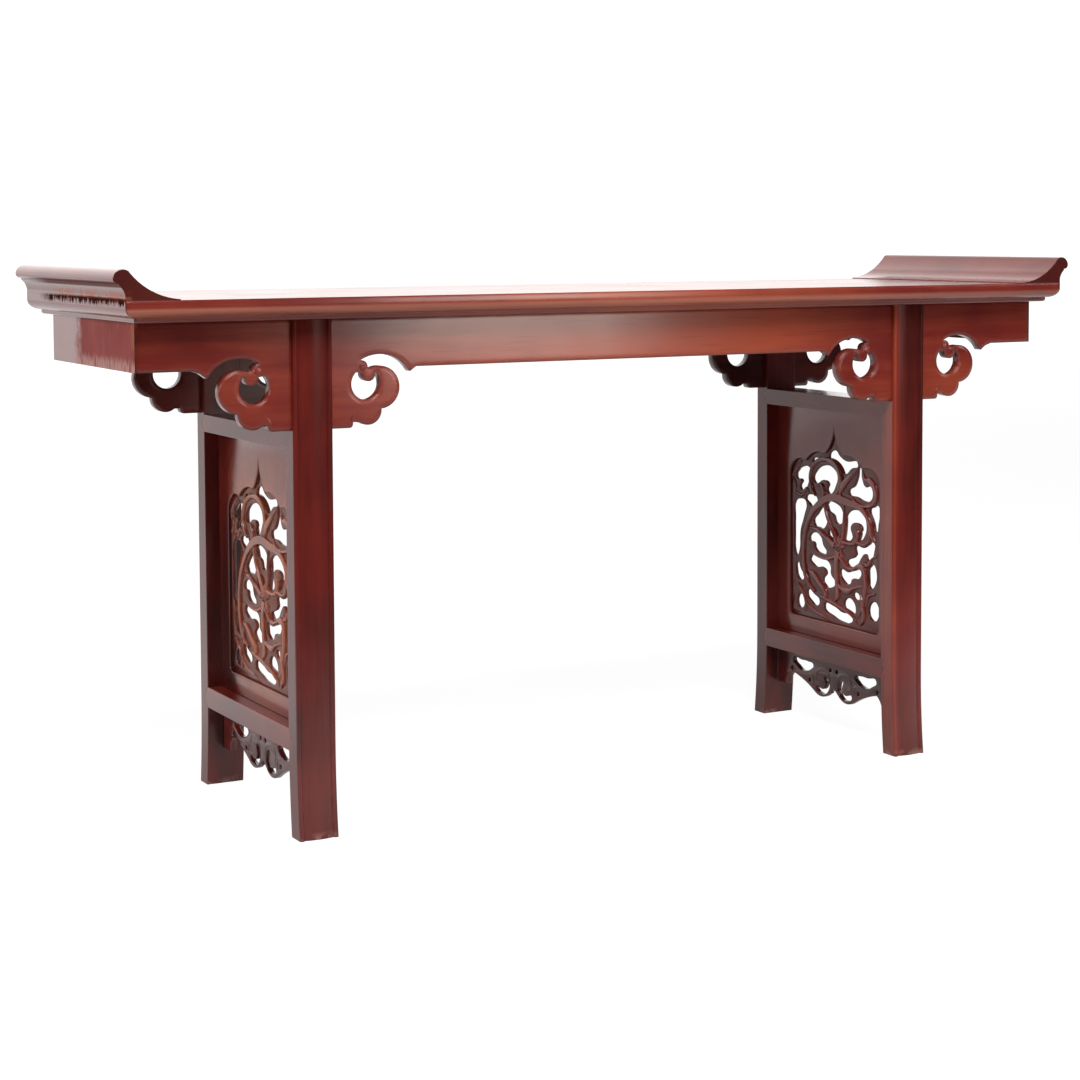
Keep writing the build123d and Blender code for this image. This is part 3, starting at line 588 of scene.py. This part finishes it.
# %% Stems of the vine: across, up, radius
VINE_STEMS = (
    # great oval
    ((-60, 84, 4), (-86, 104, 6), (-97, 140, 6), (-95, 182, 6), (-80, 216, 6), (-50, 246, 7),
     (-8, 264, 8), (40, 260, 8), (80, 252, 6), (104, 232, 6), (113, 206, 6), (122, 196, 3)),
    # small scroll under the ogee and its curl
    ((-60, 262, 4), (-74, 282, 5), (-74, 306, 5), (-58, 324, 5), (-28, 331, 5), (4, 322, 6),
     (18, 302, 6), (12, 280, 6), (-4, 264, 3)),
    ((-36, 260, 4), (-34, 276, 5), (-44, 284, 4), (-54, 279, 2)),
    # leaves beside it
    ((14, 268, 3), (26, 288, 7), (44, 304, 6), (62, 318, 3), (74, 330, 1)),
    ((52, 270, 3), (64, 262, 4), (98, 258, 4), (120, 268, 5), (124, 288, 6), (108, 304, 6), (90, 308, 4),
     (84, 322, 2)),
    ((-126, 262, 4), (-122, 276, 3), (-132, 292, 3), (-120, 306, 4), (-104, 322, 3)),
    ((-124, 262, 3), (-100, 260, 4), (-88, 272, 4), (-80, 264, 2)),
    # branches inside the oval
    ((14, 176, 5), (-14, 214, 5), (-30, 244, 4), (-30, 256, 2)),
    ((16, 176, 5), (24, 196, 4), (28, 224, 4), (28, 252, 3)),
    ((-84, 200, 2), (-54, 200, 5), (-28, 190, 5), (0, 176, 6)),
    ((22, 186, 4), (60, 188, 5), (68, 196, 4), (68, 210, 5), (62, 208, 2)),
    ((64, 190, 4), (98, 192, 4), (104, 204, 4), (100, 226, 3)),
    ((-84, 158, 2), (-52, 150, 3), (-20, 150, 4), (6, 158, 5)),
    ((-84, 122, 3), (-66, 116, 6), (-44, 100, 6), (-26, 82, 5), (-40, 74, 2)),
    ((12, 168, 8), (6, 144, 6), (8, 112, 6), (10, 84, 6), (2, 74, 3)),
    ((16, 158, 5), (44, 140, 4), (88, 146, 6), (94, 130, 5), (92, 100, 5), (84, 74, 4), (70, 52, 2)),
    ((12, 104, 4), (40, 98, 6), (60, 106, 4), (84, 112, 2)),
    ((90, 160, 2), (98, 152, 5), (112, 166, 3), (126, 172, 3)),
    # foot of the vine
    ((-128, 96, 2), (-106, 86, 5), (-92, 68, 4), (-90, 44, 3)),
    ((-94, 92, 3), (-92, 66, 3), (-66, 50, 4), (-34, 42, 4), (-8, 36, 2)),
    ((-42, 78, 4), (-10, 72, 4), (24, 64, 4), (56, 54, 4), (70, 42, 2)),
    ((78, 98, 3), (88, 74, 6), (88, 52, 5), (76, 40, 2)),
    ((122, 104, 3), (104, 98, 4), (94, 78, 3)),
)
FLOWER = (14, 172)          # heart of the flower in the middle of the vine
PETALS = ((0, 178), (14, 190), (28, 180), (24, 160), (4, 160))
PETAL_REACH = 1.6           # how far a petal goes on past its middle
print("stems in each panel:", len(VINE_STEMS))

# %% Build one panel, in millimetres
FIT = 0.1                   # air between a plate and the rails and legs round it
BOARD_HALF = LEG_INSIDE / MM - FIT
BOARD_HEAD = (UPPER_RAIL_FOOT - RAIL_TOP) / MM - FIT
BOARD_THICK = round((BOARD_FACES[1] - BOARD_FACES[0]) / MM, 1)
BOARD_SOFT = 0.8            # rounding of its edges
CUTTER_THICK = 20           # of the plate that cuts the arch right through the board
SHARP = 0.01                # its edges are hardly rounded
FIELD_THICK = 5.5           # what is left of the board where it is sunk
FIELD_SOFT = 1.4
FIELD_LAP = (1.01, 1.006)   # the field is this much larger than the arch, and so runs into its rim
FIELD_MIDDLE = 180
BEAD_RADIUS = 1.5
BEAD_RISE = 5.4             # from the middle of the board to the beads along the arch
STEM_TALL = 1.55            # how much taller than wide a stem is
STEM_BACK = 6.7             # stems and petals are planed off just under the faces of the board
PETAL_BACK = 6.8


def petal(x, y):
    """Tube of one petal, from the heart of the flower over its own middle to its tip."""
    heart_x, heart_y = FLOWER
    tip = (heart_x + (x - heart_x) * PETAL_REACH, heart_y + (y - heart_y) * PETAL_REACH)
    return (*FLOWER, 3), (x, y, 7), (*tip, 2)


def bead(side):
    """Bead along the arch, on one face of the board (side 1) or the other (side -1)."""
    rim = tube("bead", [[(x, y, BEAD_RADIUS) for x, y in ARCH]], smooth=False, closed=True)
    for vertex in rim.data.vertices:
        vertex.co.z += side * BEAD_RISE
    return rim


def carved_board():
    """One carved panel, flat on its back."""
    corners = [(-BOARD_HALF, FIT), (BOARD_HALF, FIT), (BOARD_HALF, BOARD_HEAD), (-BOARD_HALF, BOARD_HEAD)]
    board = cut_plate("board", corners, [], BOARD_THICK, BOARD_SOFT)
    arch = cut_plate("arch", ARCH, [], CUTTER_THICK, SHARP)
    cut = board.modifiers.new("sunk field", "BOOLEAN")
    cut.object = arch
    cut.solver = "EXACT"
    bpy.ops.object.select_all(action="DESELECT")
    bpy.context.view_layer.objects.active = board
    bpy.ops.object.modifier_apply(modifier=cut.name)
    bpy.data.objects.remove(arch)
    wide, tall = FIELD_LAP
    wider = [(x * wide, (y - FIELD_MIDDLE) * tall + FIELD_MIDDLE) for x, y in ARCH]
    field = cut_plate("field", wider, VINE_OPENINGS, FIELD_THICK, FIELD_SOFT)
    beads = [bead(1), bead(-1)]
    stems = tube("stems", VINE_STEMS, flat=STEM_TALL, limit=STEM_BACK)
    petals = tube("petals", [petal(x, y) for x, y in PETALS], limit=PETAL_BACK)
    return join([board, field, *beads, stems, petals], "carved_board")


print("a board is", round(2 * BOARD_HALF, 1), "mm wide and", BOARD_THICK, "mm thick")

# %% [markdown]
# A plate is made flat on its back, in millimetres. Its place in the table turns every vertex: across the
# plate, up it and out of it become metres along the table's own axes.

# %% Stand the panels up
def side_frame(x, z):
    """Place in a side frame of a point across, up and out of a board."""
    return lambda across, up, deep: (x + deep * MM, -across * MM, z + up * MM)


def stand_up(piece, place, name, finish, node=None):
    """Turns a plate from its back into its place and finishes it."""
    for vertex in piece.data.vertices:
        vertex.co = place(*vertex.co)
    piece.name = name
    piece.data.name = name
    bpy.ops.object.select_all(action="DESELECT")
    piece.select_set(True)
    bpy.context.view_layer.objects.active = piece
    bpy.ops.object.mode_set(mode="EDIT")
    bpy.ops.mesh.select_all(action="SELECT")
    bpy.ops.mesh.remove_doubles(threshold=0.00001)
    bpy.ops.mesh.normals_make_consistent(inside=False)
    bpy.ops.object.mode_set(mode="OBJECT")
    bpy.ops.object.shade_smooth_by_angle(angle=radians(35))
    piece.data.materials.clear()
    piece.data.materials.append(finish)
    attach(piece, "root")
    if node:
        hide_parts(node)
    print(name, len(piece.data.polygons), "faces")


for side, x in (("left", -FRAME_X), ("right", FRAME_X)):
    stand_up(carved_board(), side_frame(x, RAIL_TOP), side + "_vine_panel", LACQUER["carved"],
             side + "_carved_panel")

# %% [markdown]
# ## Hanging aprons
# Under the lower rail hangs a thin pierced board, cut to two facing scrolls with a small point between
# them and solid ends beside the legs. It is made like the panels: one plate with its openings, and round
# backs.

# %% Pierced aprons under the side rails
HANG_THICK = round((HANGING_FACES[1] - HANGING_FACES[0]) / MM, 1)
HANG_SOFT = 1.6
HANG_TALL = 1.6             # how much taller than wide a scroll is
HANG_BACK = 5.4             # the round backs are planed off just above the faces
DOT_RADIUS = 3.5
HANG_RIGHT = (arc((145, -70), (139, -53), (129, -44)) + arc((129, -44), (90, -55), (58, -70))
              + arc((58, -70), (36, -75), (14, -65)) + arc((14, -65), (6, -59), (0, -55)) + [(0, -55)])
HANG_RIM = [(BOARD_HALF, -FIT), (BOARD_HALF, -70)] + HANG_RIGHT
HANG_OPENINGS = (
    ((64, -21), (79, -17), (101, -17), (128, -19), (115, -30), (101, -36), (86, -35), (71, -29)),
    ((22, -34), (28, -35), (25, -50), (32, -60), (55, -60), (39, -69), (26, -68), (16, -59), (13, -50)),
)
HANG_DOTS = ((10, -21), (75, -50), (132, -37))
HANG_STROKES = (
    ((60, -14, 2), (96, -11, 3), (134, -15, 3), (144, -30, 2)),
    ((10, -64, 2), (9, -48, 3), (16, -30, 4), (34, -24, 5), (50, -30, 4), (54, -44, 4), (42, -50, 3)),
    ((60, -62, 3), (66, -40, 4), (84, -42, 3), (110, -41, 3), (130, -28, 2)),
)


def dot(across, up):
    """Small round opening."""
    return [(across + DOT_RADIUS * dx, up + DOT_RADIUS * dy)
            for dx, dy in ((1, 0), (0, 1), (-1, 0), (0, -1))]


def with_mirror(lines):
    """Lines of points of the right half, and the same lines on the left."""
    return [*lines, *([(-x, *rest) for x, *rest in line] for line in lines)]


def pierced_apron():
    """One hanging apron, flat on its back, in millimetres."""
    openings = with_mirror([*HANG_OPENINGS, *(dot(*place) for place in HANG_DOTS)])
    plate = cut_plate("plate", both_sides(HANG_RIM), openings, HANG_THICK, HANG_SOFT)
    scrolls = tube("scrolls", with_mirror(HANG_STROKES), flat=HANG_TALL, limit=HANG_BACK)
    return join([plate, scrolls], "pierced_apron")


for side, x in (("left", -FRAME_X), ("right", FRAME_X)):
    stand_up(pierced_apron(), side_frame(x, RAIL_FOOT), side + "_scroll_apron", LACQUER["hanging"],
             side + "_hanging_apron")

# %% [markdown]
# ## Buds on the cloud scrolls
# Where the curl of a cloud scroll meets the apron stands a small round bud, and a comma marks the notch
# between the cloud and the lobe below it. Both are short tapered strokes, half sunk in the face of the
# apron.

# %% Buds and commas: out from the leg, up from the root of the scroll, radius
SCROLL_ROOT = 0.710         # height of the middle of the scrolls
BUD_TALL = 0.45             # how much lower than wide a bud is
SCROLL_MARKS = (
    ((80, 4, 3.0), (84, 1, 4.6), (88, -2, 3.0)),
    ((65, -82, 0.6), (66, -76, 1.5), (70, -70, 1.2), (75, -68, 0.5)),
)


def apron_face(side):
    """Place on the face of the front apron (side -1) or of the back one (side 1)."""
    return lambda across, up, deep: (across * MM, side * (APRON_FACE + deep * MM), SCROLL_ROOT + up * MM)


for name, side in (("front_scroll_buds", -1), ("back_scroll_buds", 1)):
    strokes = [[(leg * FRAME_X / MM + out * way, up, radius) for out, up, radius in mark]
               for mark in SCROLL_MARKS for leg in (-1, 1) for way in (-1, 1)]
    stand_up(tube(name, strokes, flat=BUD_TALL), apron_face(side), name, LACQUER["X"])

# %% [markdown]
# ## Floor, backdrop and light
# White paper lies under the table and hangs behind it, and the camera and the gloss of the lacquer see it
# white. In the gloss the floor fades out towards the viewer and under the table: the room in front is
# dark, so the front faces keep their deep red, apart from the soft glow of one small lamp on the middle
# of the apron. The ends and the tabletop mirror the paper.

# %% White paper
WHITE = (1, 1, 1)
PALE = (0.40, 0.40, 0.40)     # what the wood gets back from the paper
SHADE = (0.20, 0.20, 0.20)    # what the camera sees of the lamps on the paper
CREAM = (1.0, 0.965, 0.950)   # the paper in the gloss


def rays(bench):
    """1 for the rays of the camera, and 1 for those of the gloss."""
    return [bench.make("ShaderNodeLightPath", (), out=ray) for ray in ("Is Camera Ray", "Is Glossy Ray")]


def white_paper(name, seen, in_gloss):
    """Paper that the camera sees at one strength and the gloss of the wood at another."""
    material = bpy.data.materials.new(name)
    bench = Bench(material)
    camera_ray, glossy_ray = rays(bench)
    x, y, z = bench.axes()
    # far away the camera sees the floor run into the white of the wall
    far = y.between(2.5, 7.0) * 0.08
    # the gloss sees a brighter band on the wall, and less above it, under the table and near the viewer
    under = (1 - abs(x).between(0.70, 1.10)) * (1 - abs(y).between(0.30, 0.80)) * (1 - z.between(0, 1))
    level = y.between(-1.9, -0.7) * (z.band(3.0, 4.6, 1.2) * 0.30 - z.between(5.0, 8.0) * 0.45 + 1)
    level = level * (1 - under * 0.45) * in_gloss
    glow = bench.make("ShaderNodeEmission", (bench.blend(glossy_ray, WHITE, CREAM),
                                             camera_ray * (far + seen) + glossy_ray * level))
    shade = bench.make("ShaderNodeBsdfDiffuse", (SHADE,))
    paper = bench.make("ShaderNodeBsdfDiffuse", (PALE,))
    lit = bench.make("ShaderNodeAddShader", (glow, shade))
    mix = bench.make("ShaderNodeMixShader", (camera_ray + glossy_ray, paper, lit))
    bench.feed(bench.nodes["Material Output"].inputs["Surface"], mix)
    return material


def paper_sheet(name, place, size, upright, seen, in_gloss):
    """A flat or an upright sheet, made at its place and then put at the origin."""
    bpy.ops.object.select_all(action="DESELECT")
    bpy.ops.mesh.primitive_plane_add(size=1, location=place, rotation=(pi / 2 if upright else 0, 0, 0))
    sheet = bpy.context.object
    sheet.name = name
    sheet.scale = (*size, 1)
    bpy.ops.object.transform_apply(location=True, rotation=True, scale=True)
    sheet.data.materials.append(white_paper(name, seen, in_gloss))


paper_sheet("paper_floor", (0, 2.5, -0.0005), (24, 12), upright=False, seen=0.91, in_gloss=1.05)
paper_sheet("paper_wall", (0, 8.5, 4.5), (24, 9), upright=True, seen=1.0, in_gloss=1.45)
print("paper laid and hung")

# %% [markdown]
# Four wide lamps light the table softly, and a small one glows in the gloss of the apron. The room
# around the paper is nearly black for the wood and white for the camera.

# %% Lamps and surroundings: place, aim, width and height, watts, colour
LAMPS = {
    "front_soft_box": ((-1.0, -2.8, 4.1), (0, 0, 0.5), (3.0, 1.8), 240, WHITE),
    "right_soft_box": ((3.8, -2.4, 2.4), (0, 0, 0.5), (1.6, 1.6), 40, WHITE),
    "left_soft_box": ((-4.2, -0.6, 2.2), (0, 0, 0.5), (1.8, 1.8), 80, WHITE),
    "apron_strip": ((1.30, -3.10, 1.00), (0, 0, 0.75), (0.80, 1.00), 19, (1.0, 0.93, 0.86)),
    "back_panel": ((0.0, 3.5, 3.8), (0, 0.5, 0.6), (4.0, 3.0), 34, WHITE),
}
ROOM = 0.07                 # strength of the surroundings for the wood
ROOM_IN_GLOSS = 0.03


def lamp(name, place, aim, size, power, colour):
    """A soft rectangular lamp that is turned to a point."""
    data = bpy.data.lights.new(name, "AREA")
    data.shape = "RECTANGLE"
    data.size, data.size_y = size
    data.energy = power
    data.color = colour
    thing = bpy.data.objects.new(name, data)
    bpy.context.collection.objects.link(thing)
    thing.location = place
    thing.rotation_euler = (Vector(aim) - Vector(place)).to_track_quat("-Z", "Y").to_euler()


for name, setting in LAMPS.items():
    lamp(name, *setting)
world = bpy.data.worlds.new("studio")
bpy.context.scene.world = world
room = Bench(world)
camera_ray, glossy_ray = rays(room)
dim = ROOM - glossy_ray * (ROOM - ROOM_IN_GLOSS)
room.feed(room.nodes["Background"].inputs["Color"], WHITE)
room.feed(room.nodes["Background"].inputs["Strength"], dim + camera_ray * (1 - dim))
bpy.context.scene.view_settings.view_transform = "Standard"
print("lamps:", len(LAMPS))
